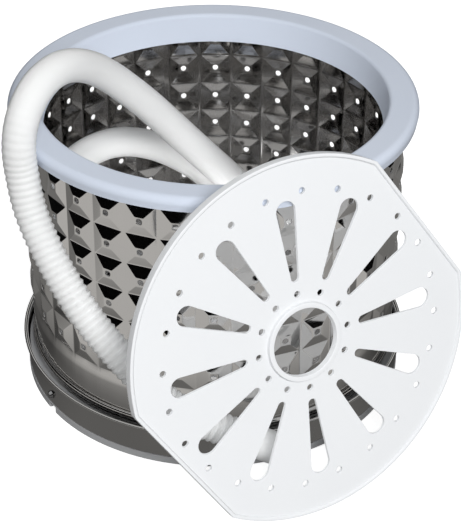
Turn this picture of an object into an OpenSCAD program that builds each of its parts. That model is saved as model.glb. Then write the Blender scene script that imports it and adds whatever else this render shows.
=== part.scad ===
// Spin basket set of a mini washing machine: perforated steel drum on a moulded base,
// liquid balance ring, press plate leaning on the drum, and the drain hose laid in it.
// Angles round the drum are counted from the front (-Y) towards +X.

/* [Drum] */
// Radius over the raised points of the drum wall
drum_r = 130; // [115:1:145]
// Thickness of the drum's steel sheet
wall_t = 0.6; // [0.5:0.1:0.9]
// How far each pyramid stands out of the sheet
emboss_h = 2; // [1:0.25:3]
// Columns of pyramids round the drum
columns = 34; // [28:1:38]
// Rows of pyramids up the drum
rows = 6; // [5:1:6]
// Height of one row of pyramids
row_h = 23.1; // [19:0.1:24]
// Width of the small flat on top of each pyramid
land_w = 6; // [5:0.25:8]
// Diameter of the hole in each pyramid
hole_d = 4; // [3:0.25:4.5]
// Width of the flat strip where the sheet's two ends lap
seam_w = 3.4; // [2:0.2:8]
// Where the lapped strip is, in degrees from the front
seam_at = 196; // [180:1:300]
// Height of the plain band under the pyramids
band_h = 37; // [30:1:45]
// Height of the plain collar that the balance ring grips
collar_h = 8.4; // [7:0.2:10]
// How far the band's lower bead stands out
bead_out = 1.2; // [0.6:0.2:2]

/* [Drum floor] */
// Thickness of the floor's steel sheet
floor_t = 0.8; // [0.6:0.1:1.2]
// Height of the floor's turned-up flange
flange_h = 9; // [6:1:14]
// Height of the stiffening bead pressed in the floor
floor_bead_h = 3; // [1.5:0.5:4]
// Diameter of the drain holes in the floor
floor_hole_d = 5; // [3:0.5:6]
// Distance between the outer rows of drain holes
floor_row_pitch = 10; // [8:0.5:12]

/* [Balance ring] */
// How far the ring stands out past the drum wall
ring_over = 8; // [6.5:0.5:12]
// Width of the ring's chamber inside the drum
chamber_w = 11.8; // [10:0.2:14]
// How much wider the mouth is at the top
ring_draft = 2.6; // [1:0.2:4]
// Depth of the ring inside the drum
ring_in_h = 20.2; // [17:0.2:24]
// Depth of the ring's lip outside the drum
ring_lip_h = 9.8; // [8:0.2:13]
// Wall thickness of the mouldings
ring_wall = 2.6; // [2:0.2:3]
// Radius of the outer shoulder
shoulder_r = 5; // [3:0.5:6]
// Radius of the inner top edge
inner_edge_r = 3; // [2:0.5:4]
// Number of filling plugs under the ring
plug_count = 2; // [2:1:4]
// Diameter of a filling plug
plug_d = 4.2; // [3.4:0.2:4.4]

/* [Base] */
// Height of the base up to the drum's lower edge
base_h = 24; // [22:1:28]
// How far the base's foot rim stands out past the drum wall
foot_out = 4.2; // [3:0.2:7]
// Height of the foot rim
foot_h = 6; // [5:0.5:8]
// How far inside the drum wall the base's seat ring stands
seat_in = 12; // [9:0.5:16]
// Thickness of the base's web and walls
base_wall = 2.4; // [2:0.2:3]
// Number of ribs under the web
rib_count = 12; // [8:2:16]
// Number of notches in the foot rim, one screw above each
notch_count = 3; // [3:1:6]
// Width of a notch
notch_w = 9; // [6:0.5:12]
// Where the first notch is, in degrees from the front
notch_at = -57; // [-90:1:-40]
// Width of a drain slot in the web
drain_w = 7; // [5:0.5:10]
// How far inside the seat ring the drain slots are centred
drain_in = 18; // [15:0.5:24]

/* [Skirt] */
// Thickness of the skirt's steel sheet
skirt_t = 0.8; // [0.6:0.1:1.2]
// How much wider the skirt is at its lip than at its foot
skirt_flare = 1.2; // [0.4:0.2:3]
// Radius of the skirt's rolled lip
lip_r = 1.1; // [0.9:0.1:1.5]
// How far the rolled lip's top stands above the drum's lower edge
skirt_over = 5; // [3:0.5:7]
// Diameter of a skirt screw
screw_d = 3; // [2.5:0.5:4]

/* [Hub] */
// Bore of the drive bush
bore_d = 10; // [8:0.5:12]
// Outer diameter of the drive bush
bush_d = 18; // [16:0.5:20]
// Outer diameter of the hub's barrel
barrel_d = 28; // [25:0.5:32]
// Outer diameter of the hub's flange, the clamp ring and the washer
clamp_d = 76; // [72:1:84]
// Thickness of the hub's flange
hub_flange_t = 4; // [3:0.5:5]
// Thickness of the clamp ring
clamp_t = 3; // [2:0.5:4]
// Thickness of the rubber washer under the floor
washer_t = 1; // [0.8:0.2:1.6]
// Diameter of the bolts through the clamp
bolt_d = 5; // [4:0.5:6]
// Number of bolts through the clamp
bolt_count = 4; // [3:1:6]
// Diameter of the circle that the bolts stand on
bolt_circle = 56; // [52:1:60]
// Height of the cap over the hub
cap_h = 9; // [6:0.5:14]

/* [Press plate] */
// Radius of the plate
plate_r = 121.7; // [112:0.1:124]
// How much each flat cuts off the plate's radius
flat_cut = 12.3; // [8:0.1:16]
// Thickness of the plate's web
web_t = 2.4; // [2:0.2:3]
// Depth of the rim behind the plate's face
rim_h = 5; // [4:0.5:8]
// Width of the rim
rim_w = 2.4; // [1.8:0.2:3]
// How far the rim's bead stands in front of the face
bead_h = 1.2; // [0.6:0.2:2]
// Radius of the centre hole
centre_r = 22.9; // [18:0.1:25]
// Width of the collar round the centre hole
collar_w = 3.4; // [2.4:0.2:4]
// Height of the collar in front of the face
collar_rise = 2.6; // [1.5:0.1:4]
// Number of slots
slot_count = 12; // [8:1:12]
// Distance from the centre hole's edge to the middle of the slots' round inner ends
slot_inset = 21; // [18:0.1:26]
// Distance from the middle of the slots' round outer ends to the outer circle of small holes
slot_stop = 10.9; // [9:0.1:16]
// Half the width of a slot at its inner end
slot_in_r = 2.8; // [2:0.1:3.6]
// Half the width of a slot at its outer end
slot_out_r = 6.8; // [5:0.1:7.2]
// Diameter of the small holes
small_d = 4.4; // [3:0.1:5]
// Distance from the centre hole's edge to the inner circle of small holes
inner_inset = 9.8; // [8:0.1:12]
// Distance from the plate's edge to the outer circle of small holes
outer_inset = 22.4; // [19:0.1:25]

/* [Press plate stance] */
// How far the plate leans back from upright
plate_lean = 13.3; // [10:0.1:20]
// Which way the plate faces, in degrees from the front
plate_turn = 29.1; // [0:0.1:45]
// How far the plate is turned in its own plane
plate_roll = 2.2; // [0:0.1:30]
// How far the plate stands to the side of the line that it leans on
plate_side = -24.8; // [-40:0.2:40]

/* [Drain hose] */
// Outer diameter over the ribs
hose_d = 22; // [20:0.5:23]
// Bore of the hose
hose_bore = 16; // [13:0.5:17]
// How far the ribs stand out
hose_rib = 1.6; // [1:0.1:2]
// Distance from rib to rib
rib_pitch = 4.6; // [4:0.2:9]
// Length of the ribbed stretch from the outer end, beyond which the hose is smooth
ribbed_len = 286; // [100:2:800]
// Length of the plain cuff at the outer end
cuff_len = 20; // [15:1:24]
// Outer diameter of the plain cuff
cuff_d = 22; // [20:0.5:24]
// Length of the connector at the inner end
connector_len = 30; // [24:1:32]
// Outer diameter of the connector's grip
connector_d = 26; // [24:0.5:27]

/* [Hidden] */
$fn = 128;

// Gap between pieces that are fitted together without touching
gap = 0.3;
// Radial clearance of what is pressed or screwed into a hole
snug = 0.05;

// Heights that the pieces share
pyramid_z = base_h + band_h;
pyramid_top = pyramid_z + rows * row_h;
wall_top = pyramid_top + collar_h;
ring_top = wall_top + gap + ring_wall + 3.1;
floor_z = base_h + 1.2;
flange_top = floor_z + flange_h;

// Columns of the drum wall
seam_angle = seam_w / drum_r * 180 / PI;
column_angle = (360 - seam_angle) / columns;
function line_at(k) = seam_at + seam_angle / 2 + k * column_angle;
function polar(r, a, z) = [r * sin(a), -r * cos(a), z];
valley_r = drum_r - emboss_h;
band_r = drum_r - 1;
bead_z = base_h + 6;

// Radii of the flats inside the faceted wall, which what seats on it has to clear
inside_collar = (valley_r - wall_t) * cos(column_angle / 2);
inside_band = (band_r - wall_t) * cos(column_angle / 4);

// The band under the pyramids, from its top down: radius and height of each turn in the sheet
band_turns = [[band_r, pyramid_z - 4], [band_r, bead_z + 2.4], [band_r + bead_out, bead_z],
    [band_r, bead_z - 2.4], [band_r, base_h]];

// Counts of the points of one skin of the wall, in the order in which they are listed
border_n = (rows + 1) * (columns + 1);
land_n = 4 * rows * columns;
hole_n = 6 * rows * columns;
top_n = columns + 1;
turn_n = 2 * columns + 1;
skin_n = border_n + land_n + hole_n + top_n + len(band_turns) * turn_n;

function border_i(j, k) = j * (columns + 1) + k;
function land_i(j, k, q) = border_n + 4 * (j * columns + k) + q;
function hole_i(j, k, m) = border_n + land_n + 6 * (j * columns + k) + m % 6;
function top_i(k) = border_n + land_n + hole_n + k % (columns + 1);
function turn_i(t, i) = border_n + land_n + hole_n + top_n + t * turn_n + i % turn_n;

// Points of one skin, which lies depth inside the outer face of the sheet
function skin_points(depth) = concat(
    [for (j = [0:rows], k = [0:columns]) polar(valley_r - depth, line_at(k), pyramid_z + j * row_h)],
    [for (j = [0:rows - 1], k = [0:columns - 1], q = [0:3])
        polar(drum_r - depth,
            line_at(k + 0.5) + (q == 1 || q == 2 ? 1 : -1) * land_w / 2 / drum_r * 180 / PI,
            pyramid_z + (j + 0.5) * row_h + (q > 1 ? 1 : -1) * land_w / 2)],
    [for (j = [0:rows - 1], k = [0:columns - 1], m = [0:5])
        polar(drum_r - depth,
            line_at(k + 0.5) + hole_d / 2 * cos(60 * m) / drum_r * 180 / PI,
            pyramid_z + (j + 0.5) * row_h + hole_d / 2 * sin(60 * m))],
    [for (k = [0:columns]) polar(valley_r - depth, line_at(k), wall_top)],
    [for (turn = band_turns, i = [0:2 * columns]) polar(turn[0] - depth, line_at(i / 2), turn[1])]);

// Four sloping faces and the flat round the hole of the pyramid in row j and column k
function pyramid_faces(j, k) = let(
    bl = border_i(j, k), br = border_i(j, k + 1), tl = border_i(j + 1, k), tr = border_i(j + 1, k + 1),
    l0 = land_i(j, k, 0), l1 = land_i(j, k, 1), l2 = land_i(j, k, 2), l3 = land_i(j, k, 3),
    h0 = hole_i(j, k, 0), h1 = hole_i(j, k, 1), h2 = hole_i(j, k, 2),
    h3 = hole_i(j, k, 3), h4 = hole_i(j, k, 4), h5 = hole_i(j, k, 5)) [
    [bl, tl, l3], [bl, l3, l0], [tl, tr, l2], [tl, l2, l3],
    [tr, br, l1], [tr, l1, l2], [br, bl, l0], [br, l0, l1],
    [l2, l1, h0], [l2, h0, h1], [l3, l2, h1], [l3, h1, h2], [l3, h2, h3],
    [l0, l3, h3], [l0, h3, h4], [l1, l0, h4], [l1, h4, h5], [l1, h5, h0]];

function two(a, b, c, d) = [[a, b, c], [a, c, d]];

skin_faces = concat(
    [for (j = [0:rows - 1], k = [0:columns - 1], f = pyramid_faces(j, k)) f],
    [for (j = [0:rows - 1], f = two(border_i(j, columns), border_i(j + 1, columns),
        border_i(j + 1, 0), border_i(j, 0))) f],
    [for (k = [0:columns], f = two(border_i(rows, k), top_i(k), top_i(k + 1),
        border_i(rows, (k + 1) % (columns + 1)))) f],
    [for (k = [0:columns - 1], f = [
        [border_i(0, k), turn_i(0, 2 * k + 1), turn_i(0, 2 * k)],
        [border_i(0, k), border_i(0, k + 1), turn_i(0, 2 * k + 1)],
        [border_i(0, k + 1), turn_i(0, 2 * k + 2), turn_i(0, 2 * k + 1)]]) f],
    two(turn_i(0, 2 * columns), border_i(0, columns), border_i(0, 0), turn_i(0, 0)),
    [for (t = [0:len(band_turns) - 2], i = [0:2 * columns],
        f = two(turn_i(t + 1, i), turn_i(t, i), turn_i(t, i + 1), turn_i(t + 1, i + 1))) f]);

// Faces that join the outer skin to the inner one: top edge, lower edge and the holes
low_turn = len(band_turns) - 1;
edge_faces = concat(
    [for (k = [0:columns], f = two(top_i(k), top_i(k) + skin_n, top_i(k + 1) + skin_n, top_i(k + 1))) f],
    [for (i = [0:2 * columns], f = two(turn_i(low_turn, i), turn_i(low_turn, i + 1),
        turn_i(low_turn, i + 1) + skin_n, turn_i(low_turn, i) + skin_n)) f],
    [for (j = [0:rows - 1], k = [0:columns - 1], m = [0:5],
        f = two(hole_i(j, k, m + 1), hole_i(j, k, m),
            hole_i(j, k, m) + skin_n, hole_i(j, k, m + 1) + skin_n)) f]);

// Arc of a profile round centre c, from angle a0 to angle a1
function arc(c, r, a0, a1, n) = [for (i = [0:n]) let(a = a0 + (a1 - a0) * i / n) c + r * [cos(a), sin(a)]];

// The balance ring: its chamber lies inside the drum wall and its lip hooks over it
ring_foot = ring_top - ring_in_h;
lip_foot = ring_top - ring_lip_h;
closer_t = 2.2;
cover_foot = ring_foot + closer_t;
ring_out_r = drum_r + ring_over;
ring_in_r = inside_collar - gap - chamber_w;
chamber_out = inside_collar - gap - 2.2;
grip_in = valley_r + gap;
mouth_top_r = ring_in_r + ring_draft;
shoulder_c = [ring_out_r - shoulder_r, ring_top - shoulder_r];
plug_ring_r = (ring_in_r + ring_wall + chamber_out) / 2;

// The base
foot_r = drum_r + foot_out;
skirt_foot_r = foot_r - 0.4;
skirt_h = base_h + skirt_over;
pan_r = skirt_foot_r - skirt_t - 0.1;
web_z = base_h - 6.4;
pan_top = base_h - 3;
seat_r = drum_r - seat_in;
rib_ring_r = clamp_d / 2 + 4;
rib_foot = 5;
rib_len = pan_r - base_wall - rib_ring_r - base_wall / 2;
screw_z = (foot_h + pan_top) / 2 + 1;
screw_head_r = screw_d * 1.05;
// The skirt runs straight up to its knee, and the screw heads seat against it there
knee_h = skirt_h * 0.7;
knee_out = skirt_flare * 0.8;
screw_seat = skirt_foot_r + knee_out * (screw_z + screw_head_r - foot_h) / (knee_h - foot_h) + snug;
spigot_r = bush_d / 2 + 5;
washer_z = floor_z - washer_t;

// The clamp at the hub, from the nuts up to the bolt heads
hub_flange_z = web_z - hub_flange_t;
nut_h = 4;
nut_w = bolt_d * 1.6;
nut_z = hub_flange_z - nut_h;
clamp_z = floor_z + floor_t;
head_z = clamp_z + clamp_t;
head_h = bolt_d * 0.6;

// The plate's flats, slots and holes
plate_flat = plate_r - flat_cut;
inner_holes = centre_r + inner_inset;
outer_holes = plate_r - outer_inset;
slot_from = centre_r + slot_inset;
slot_to = outer_holes - slot_stop;

// The stance of the plate: its rim stands on the ground and its web leans on the ring's shoulder
plate_up = plate_r * cos(plate_lean) + rim_h * sin(plate_lean);
plate_out = (shoulder_c[0] * cos(plate_lean) + (shoulder_c[1] - plate_up) * sin(plate_lean)
    + shoulder_r + web_t + gap) / cos(plate_lean);

// Route of the hose's centreline from its outer end, over the rim, round the drum to its inner end
hose_route = [
    [22, -147, 36], [11, -147.5, 41.5], [0, -148, 47], [-11, -148.5, 52.5], [-31, -147, 67],
    [-54, -140.5, 90], [-79, -128, 117], [-100, -112.5, 147], [-115, -97, 176], [-121, -89, 203],
    [-122, -86.5, 224], [-118.5, -80, 241], [-111, -68, 253], [-101, -53, 257], [-91, -37, 253],
    [-80, -19, 242], [-69, -5, 228], [-57, 6, 212], [-44, 15, 195], [-31, 23, 177],
    [-16, 32, 156], [2, 43, 131], [21, 53, 106], [41, 59, 84], [62, 59, 66],
    [83, 50, 52], [100, 34, 42], [110, 12, 38], [113, -14, 37.5], [107, -41, 37.5],
    [93, -67, 37.5], [71, -90, 37.5], [44, -106, 37.5], [14, -114, 38], [-16, -114, 40],
    [-45, -105.5, 46], [-71, -90.5, 57], [-92, -69, 73], [-106, -43, 91], [-113, -17, 107],
    [-113, 10, 119], [-106, 38, 127], [-91, 65, 129], [-69, 89, 124], [-43, 105, 111],
    [-16, 114, 91], [3, 115, 73], [17, 113, 60], [28, 109.5, 53], [38, 104, 49],
    [47, 98, 47], [56, 92, 45]];
route_n = len(hose_route);
function route_at(i) = i < 0 ? 2 * hose_route[0] - hose_route[1]
    : i >= route_n ? 2 * hose_route[route_n - 1] - hose_route[route_n - 2] : hose_route[i];
function blend_at(a, b, c, d, t) = (2 * b + (c - a) * t + (2 * a - 5 * b + 4 * c - d) * t * t
    + (3 * b - a - 3 * c + d) * t * t * t) / 2;
fine_steps = 12;
fine = concat([for (i = [0:route_n - 2], s = [0:fine_steps - 1])
    blend_at(route_at(i - 1), route_at(i), route_at(i + 1), route_at(i + 2), s / fine_steps)],
    [hose_route[route_n - 1]]);
fine_at = [for (i = 0, s = 0; i < len(fine);
    s = s + norm(fine[min(i + 1, len(fine) - 1)] - fine[i]), i = i + 1) s];
hose_len = fine_at[len(fine) - 1];
track = [for (c = [0:2]) [for (i = [0:len(fine) - 1]) [fine_at[i], fine[i][c]]]];
function hose_point(s) = [lookup(s, track[0]), lookup(s, track[1]), lookup(s, track[2])];
function unit(v) = v / norm(v);
function hose_dir(s) = unit(hose_point(min(s + 1, hose_len)) - hose_point(max(s - 1, 0)));
function square_to(v, t) = unit(v - (v * t) * t);
hose_sides = 8;
bore_rings = 80;
smooth_rings = 110;
hose_ribs = floor(ribbed_len / rib_pitch);
ribs_end = hose_ribs * rib_pitch;
// Rings of the outer skin as [distance along the hose, radius]: two for each rib, then the smooth stretch
outer_rings = concat(
    [for (i = [0:2 * hose_ribs - 1]) [i * rib_pitch / 2, hose_d / 2 - (i % 2 == 0 ? hose_rib : 0)]],
    [[ribs_end, hose_d / 2 - hose_rib]],
    [for (i = [0:smooth_rings]) let(from = ribs_end + rib_pitch / 2)
        [from + i * (hose_len - from) / smooth_rings, hose_d / 2]]);
outer_stops = [for (ring = outer_rings) ring[0]];
bore_stops = [for (i = [0:bore_rings]) i * hose_len / bore_rings];
// Side vectors carried along the hose without twist, one for each stop
function sides_along(stops) = [for (i = 0, v = square_to([0, 0, 1], hose_dir(0)); i < len(stops);
    i = i + 1, v = square_to(v, hose_dir(stops[min(i, len(stops) - 1)]))) v];
function ring_points(s, v, r) = let(t = hose_dir(s), w = cross(t, v))
    [for (m = [0:hose_sides - 1]) let(a = 360 * m / hose_sides)
        hose_point(s) + r * (cos(a) * v + sin(a) * w)];
outer_v = sides_along(outer_stops);
bore_v = sides_along(bore_stops);
hose_skin = [for (i = [0:len(outer_stops) - 1])
    each ring_points(outer_stops[i], outer_v[i], outer_rings[i][1])];
hose_lining = [for (i = [0:len(bore_stops) - 1]) each ring_points(bore_stops[i], bore_v[i], hose_bore / 2)];
function tube_faces(rings, first, turn) = [for (i = [0:rings - 2], m = [0:hose_sides - 1])
    let(a = first + i * hose_sides + m, b = first + i * hose_sides + (m + 1) % hose_sides,
        c = b + hose_sides, d = a + hose_sides)
    each turn ? [[a, b, c], [a, c, d]] : [[a, c, b], [a, d, c]]];
function end_faces(outer, inner, turn) = [for (m = [0:hose_sides - 1])
    let(a = outer + m, b = outer + (m + 1) % hose_sides, c = inner + (m + 1) % hose_sides, d = inner + m)
    each turn ? [[a, b, c], [a, c, d]] : [[a, c, b], [a, d, c]]];
near_stops = [for (s = [0:5:hose_len]) s];
self_gap = min([for (a = near_stops, b = near_stops) if (b > a + 3 * hose_d)
    norm(hose_point(a) - hose_point(b))]) - hose_d;
echo(hose_length = hose_len, ribs = hose_ribs, gap_of_hose_to_itself = self_gap);

// Puts a piece that is drawn along +Z at the hose's end s, pointing along d
module on_hose(s, d)
    translate(hose_point(s)) rotate([0, acos(d[2]), atan2(d[1], d[0])]) children();

module ring_of(count, r, first = 0)
    for (i = [0:count - 1]) rotate([0, 0, first + i * 360 / count]) translate([0, -r, 0]) children();

module drum_wall() color("silver")
    polyhedron(points = concat(skin_points(0), skin_points(wall_t)),
        faces = concat(skin_faces, [for (f = skin_faces) [f[2] + skin_n, f[1] + skin_n, f[0] + skin_n]],
            edge_faces));

module drum_floor() color("lightgray")
    difference() {
        flange_r = inside_band - gap;
        bead_in = clamp_d / 2 + 22;
        bead_run = 6;
        rotate_extrude() polygon(concat(
            [[spigot_r + gap, floor_z], [bead_in, floor_z], [bead_in + bead_run, floor_z + floor_bead_h],
                [bead_in + 2 * bead_run, floor_z + floor_bead_h], [bead_in + 3 * bead_run, floor_z]],
            arc([flange_r - 4, floor_z + 4], 4, -90, 0, 6),
            [[flange_r, flange_top], [flange_r - floor_t, flange_top]],
            arc([flange_r - 4, floor_z + 4], 4 - floor_t, 0, -90, 6),
            [[bead_in + 3 * bead_run, floor_z + floor_t],
                [bead_in + 2 * bead_run, floor_z + floor_bead_h + floor_t],
                [bead_in + bead_run, floor_z + floor_bead_h + floor_t], [bead_in, floor_z + floor_t],
                [spigot_r + gap, floor_z + floor_t]]));
        for (row = [[12, clamp_d / 2 + 8, 0], [24, seat_r - 3 * floor_row_pitch, 0],
                [24, seat_r - 2 * floor_row_pitch, 7.5], [36, seat_r - floor_row_pitch, 0]])
            ring_of(row[0], row[1], row[2])
                translate([0, 0, floor_z - 1]) cylinder(d = floor_hole_d, h = floor_t + 2, $fn = 24);
        ring_of(bolt_count, bolt_circle / 2)
            translate([0, 0, floor_z - 1]) cylinder(d = bolt_d + 2 * gap, h = floor_t + 2, $fn = 32);
    }

module rim_cover() color("lavender")
    rotate_extrude() polygon(concat(
        [[ring_in_r + ring_draft * closer_t / ring_in_h, cover_foot]],
        arc([mouth_top_r + inner_edge_r, ring_top - inner_edge_r], inner_edge_r, 180, 90, 6),
        arc(shoulder_c, shoulder_r, 90, 0, 8),
        [[ring_out_r - 0.8, lip_foot], [ring_out_r - 0.8 - ring_wall, lip_foot]],
        arc(shoulder_c, shoulder_r - ring_wall, 0, 90, 4),
        [[grip_in + 1.9, ring_top - ring_wall], [grip_in + 1.7, lip_foot + 0.6], [grip_in, lip_foot + 0.6],
            [grip_in, wall_top + gap], [inside_collar - gap, wall_top + gap],
            [inside_collar - gap, cover_foot],
            [chamber_out, cover_foot], [chamber_out, ring_top - ring_wall - 0.5],
            [mouth_top_r + ring_wall, ring_top - ring_wall - 0.5],
            [ring_in_r + ring_wall, cover_foot]]));

module rim_channel() color("lavender")
    difference() {
        locate_t = 0.8;
        rotate_extrude() polygon([
            [ring_in_r, ring_foot], [inside_collar - gap - 0.4, ring_foot],
            [inside_collar - gap, ring_foot + 0.4],
            [inside_collar - gap, cover_foot], [chamber_out - 0.2, cover_foot],
            [chamber_out - 0.2, cover_foot + 1.2], [chamber_out - 0.2 - locate_t, cover_foot + 1.2],
            [chamber_out - 0.2 - locate_t, cover_foot],
            [ring_in_r + ring_wall + 0.4 + locate_t, cover_foot],
            [ring_in_r + ring_wall + 0.4 + locate_t, cover_foot + 1.2],
            [ring_in_r + ring_wall + 0.4, cover_foot + 1.2], [ring_in_r + ring_wall + 0.4, cover_foot],
            [ring_in_r + ring_draft * closer_t / ring_in_h, cover_foot]]);
        ring_of(plug_count, plug_ring_r, 90)
            translate([0, 0, ring_foot - 1]) cylinder(d = plug_d + 2 * snug, h = closer_t + 2, $fn = 32);
    }

module rim_plugs() color("white")
    ring_of(plug_count, plug_ring_r, 90) {
        translate([0, 0, ring_foot - 1.2]) cylinder(d = plug_d + 3, h = 1.2, $fn = 32);
        translate([0, 0, ring_foot - 0.1]) cylinder(d = plug_d, h = closer_t + 0.8, $fn = 32);
    }

module base_pan() color("gainsboro")
    difference() {
        union() {
            rotate_extrude() polygon(concat(
                arc([foot_r - 1.5, 1.5], 1.5, -90, 0, 5),
                [[foot_r, foot_h], [pan_r, foot_h], [pan_r, pan_top], [pan_r - base_wall, pan_top],
                    [pan_r - base_wall, web_z + base_wall], [seat_r + base_wall, web_z + base_wall],
                    [seat_r + base_wall, floor_z], [seat_r, floor_z], [seat_r, web_z + base_wall],
                    [clamp_d / 2 + base_wall, web_z + base_wall], [clamp_d / 2 + base_wall, floor_z - 0.2],
                    [clamp_d / 2 + gap, floor_z - 0.2], [clamp_d / 2 + gap, washer_z],
                    [spigot_r + gap, washer_z], [spigot_r + gap, web_z],
                    [pan_r - 2 * base_wall, web_z], [pan_r - 2 * base_wall, 0]]));
            ring_of(rib_count, pan_r - base_wall)
                translate([-base_wall / 2, 0, rib_foot]) cube([base_wall, rib_len, web_z - rib_foot + 0.5]);
            rotate_extrude() translate([rib_ring_r, rib_foot - 1])
                square([base_wall, web_z - rib_foot + 1.5]);
            ring_of(notch_count, pan_r - base_wall - 2.9, notch_at)
                translate([-5, -2, foot_h + 0.5]) cube([10, 5, web_z - foot_h]);
        }
        ring_of(notch_count, foot_r, notch_at)
            translate([-notch_w / 2, -2, -1]) cube([notch_w, 12, foot_h + 1 - 0.4]);
        ring_of(notch_count, pan_r, notch_at)
            translate([0, -1, screw_z]) rotate([-90, 0, 0])
                cylinder(d = screw_d + 2 * snug, h = 9, $fn = 32);
        ring_of(bolt_count, bolt_circle / 2)
            translate([0, 0, web_z - 1]) cylinder(d = bolt_d + 2 * gap, h = base_h, $fn = 32);
        ring_of(rib_count, seat_r - drain_in, 180 / rib_count)
            translate([0, 0, web_z - 1]) linear_extrude(base_wall + 2) {
                square([drain_w - 0.4, 16], center = true);
                translate([0, 8]) circle(d = drain_w, $fn = 24);
                translate([0, -8]) circle(d = drain_w, $fn = 24);
            }
    }

module base_skirt() color("silver")
    difference() {
        lip_c = [skirt_foot_r + skirt_flare + lip_r - skirt_t / 2, skirt_h - lip_r];
        rotate_extrude() union() {
            polygon([[skirt_foot_r - skirt_t, foot_h], [skirt_foot_r, foot_h],
                [skirt_foot_r + knee_out, knee_h], [skirt_foot_r + skirt_flare, skirt_h - lip_r],
                [skirt_foot_r + skirt_flare - skirt_t, skirt_h - lip_r],
                [skirt_foot_r + knee_out - skirt_t, knee_h]]);
            translate(lip_c) circle(r = lip_r, $fn = 24);
        }
        ring_of(notch_count, skirt_foot_r + 5, notch_at)
            translate([0, 0, screw_z]) rotate([-90, 0, 0]) cylinder(d = screw_d + 0.4, h = 12, $fn = 32);
    }

module skirt_screws() color("darkgray")
    ring_of(notch_count, screw_seat, notch_at)
        translate([0, 0, screw_z]) rotate([-90, 0, 0]) {
            translate([0, 0, -2]) cylinder(r1 = screw_d * 0.7, r2 = screw_head_r, h = 2, $fn = 32);
            cylinder(d = screw_d, h = 8, $fn = 32);
        }

module drive_hub() color("darkgray")
    difference() {
        rotate_extrude() polygon([
            [bush_d / 2 + snug, 0], [barrel_d / 2 - 1, 0], [barrel_d / 2, 1], [barrel_d / 2, hub_flange_z],
            [clamp_d / 2 - 1, hub_flange_z], [clamp_d / 2 - 1, web_z], [spigot_r, web_z],
            [spigot_r, head_z], [bush_d / 2 + snug, head_z]]);
        ring_of(bolt_count, bolt_circle / 2)
            translate([0, 0, hub_flange_z - 1]) cylinder(d = bolt_d + gap, h = hub_flange_t + 2, $fn = 32);
    }

module hub_bush() color("dimgray")
    difference() {
        cylinder(d = bush_d, h = head_z);
        translate([0, 0, -1]) cylinder(d = bore_d, h = head_z + 2);
    }

module floor_washer() color("dimgray")
    difference() {
        translate([0, 0, washer_z]) cylinder(d = clamp_d, h = washer_t);
        translate([0, 0, washer_z - 1]) cylinder(r = spigot_r + gap, h = washer_t + 2);
        ring_of(bolt_count, bolt_circle / 2)
            translate([0, 0, washer_z - 1]) cylinder(d = bolt_d + 2 * gap, h = washer_t + 2, $fn = 32);
    }

module clamp_ring() color("silver")
    difference() {
        rotate_extrude() polygon([
            [spigot_r + gap, clamp_z], [clamp_d / 2, clamp_z], [clamp_d / 2, clamp_z + clamp_t - 1],
            [clamp_d / 2 - 1, head_z], [spigot_r + gap, head_z]]);
        ring_of(bolt_count, bolt_circle / 2)
            translate([0, 0, clamp_z - 1]) cylinder(d = bolt_d + gap, h = clamp_t + 2, $fn = 32);
    }

module clamp_bolts() color("silver")
    ring_of(bolt_count, bolt_circle / 2)
        difference() {
            union() {
                translate([0, 0, head_z]) cylinder(d = bolt_d * 1.9, h = head_h, $fn = 32);
                translate([0, 0, nut_z - 1]) cylinder(d = bolt_d, h = head_z - nut_z + 1.5, $fn = 32);
            }
            for (a = [0, 90]) rotate([0, 0, a])
                translate([-bolt_d * 0.6, -0.5, head_z + head_h - 1.2]) cube([bolt_d * 1.2, 1, 2]);
        }

module clamp_nuts() color("silver")
    ring_of(bolt_count, bolt_circle / 2)
        difference() {
            translate([0, 0, nut_z]) cylinder(d = nut_w / cos(30), h = nut_h, $fn = 6);
            translate([0, 0, nut_z - 1]) cylinder(d = bolt_d + 2 * snug, h = nut_h + 2, $fn = 32);
        }

module hub_cap() color("white")
    rotate_extrude() polygon(concat(
        [[0, head_z], [spigot_r + 4, head_z], [spigot_r + 4, head_z + 1.6], [spigot_r + 2, head_z + 2.4]],
        [for (i = [0:8]) let(a = i * 90 / 8)
            [(spigot_r + 1) * cos(a), head_z + 2.4 + (cap_h - 2.4) * sin(a)]]));

module plate_outline(inset = 0)
    intersection() {
        circle(r = plate_r - inset);
        rotate(30) square([2 * (plate_flat - inset), 3 * plate_r], center = true);
    }

// One tapering slot along +Y: two round ends, joined by sides that start just inside them
module slot() {
    inside = 0.97;
    translate([0, slot_from]) circle(r = slot_in_r, $fn = 32);
    translate([0, slot_to]) circle(r = slot_out_r, $fn = 48);
    polygon([[slot_in_r * inside, slot_from], [slot_out_r * inside, slot_to],
        [-slot_out_r * inside, slot_to], [-slot_in_r * inside, slot_from]]);
}

module press_plate() color("white")
    rotate([0, 0, plate_turn]) translate([plate_side, -plate_out, plate_up])
        rotate([90 - plate_lean, 0, 0]) rotate([0, 0, plate_roll]) {
            difference() {
                union() {
                    translate([0, 0, -web_t]) linear_extrude(web_t) plate_outline(rim_w / 2);
                    translate([0, 0, -rim_h]) linear_extrude(rim_h + bead_h) difference() {
                        plate_outline();
                        plate_outline(rim_w);
                    }
                    translate([0, 0, -web_t / 2])
                        cylinder(r = centre_r + collar_w, h = web_t / 2 + collar_rise);
                }
                translate([0, 0, -rim_h]) linear_extrude(rim_h + collar_rise + 1) {
                    circle(r = centre_r);
                    for (i = [0:slot_count - 1]) rotate(i * 360 / slot_count) slot();
                    for (i = [0:slot_count - 1]) rotate(i * 360 / slot_count)
                        translate([0, inner_holes]) circle(d = small_d, $fn = 24);
                    for (i = [0:2 * slot_count - 1]) rotate((i + 0.5) * 180 / slot_count)
                        translate([0, outer_holes]) circle(d = small_d, $fn = 24);
                }
            }
        }

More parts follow.
